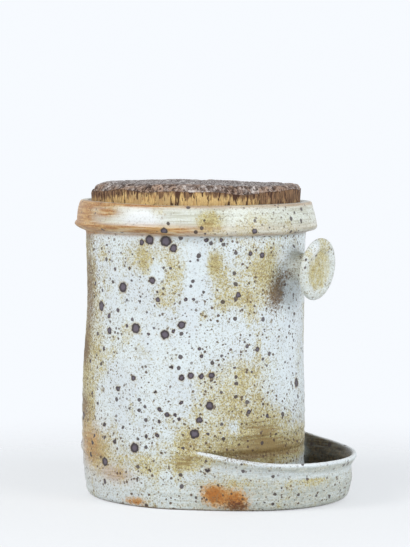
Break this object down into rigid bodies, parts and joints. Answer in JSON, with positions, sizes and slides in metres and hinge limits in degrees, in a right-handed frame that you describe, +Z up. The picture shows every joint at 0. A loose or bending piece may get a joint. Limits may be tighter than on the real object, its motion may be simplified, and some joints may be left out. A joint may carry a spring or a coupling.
{
  "type": "stoneware gherkin jar with cork lid",
  "caption": "Speckled stoneware gherkin jar with a thick collar, a button knob for the ladle, a drip tray round the foot and a natural cork lid.",
  "frame": {"origin": "centre of the jar's own foot, on the table plane", "axes": "+Z up along the jar's axis, +X from the axis towards the knob and the drip tray, +Y across"},
  "size_m": [0.2166, 0.1804, 0.2314],
  "materials": {
    "glazed_stoneware": "milky speckled glaze, half shiny",
    "natural_cork": "raw cork with its bark left on top"
  },
  "bodies": {
    "root": {"stoneware_jar": "glazed_stoneware", "cork_lid": "natural_cork"}
  },
  "joints": []
}
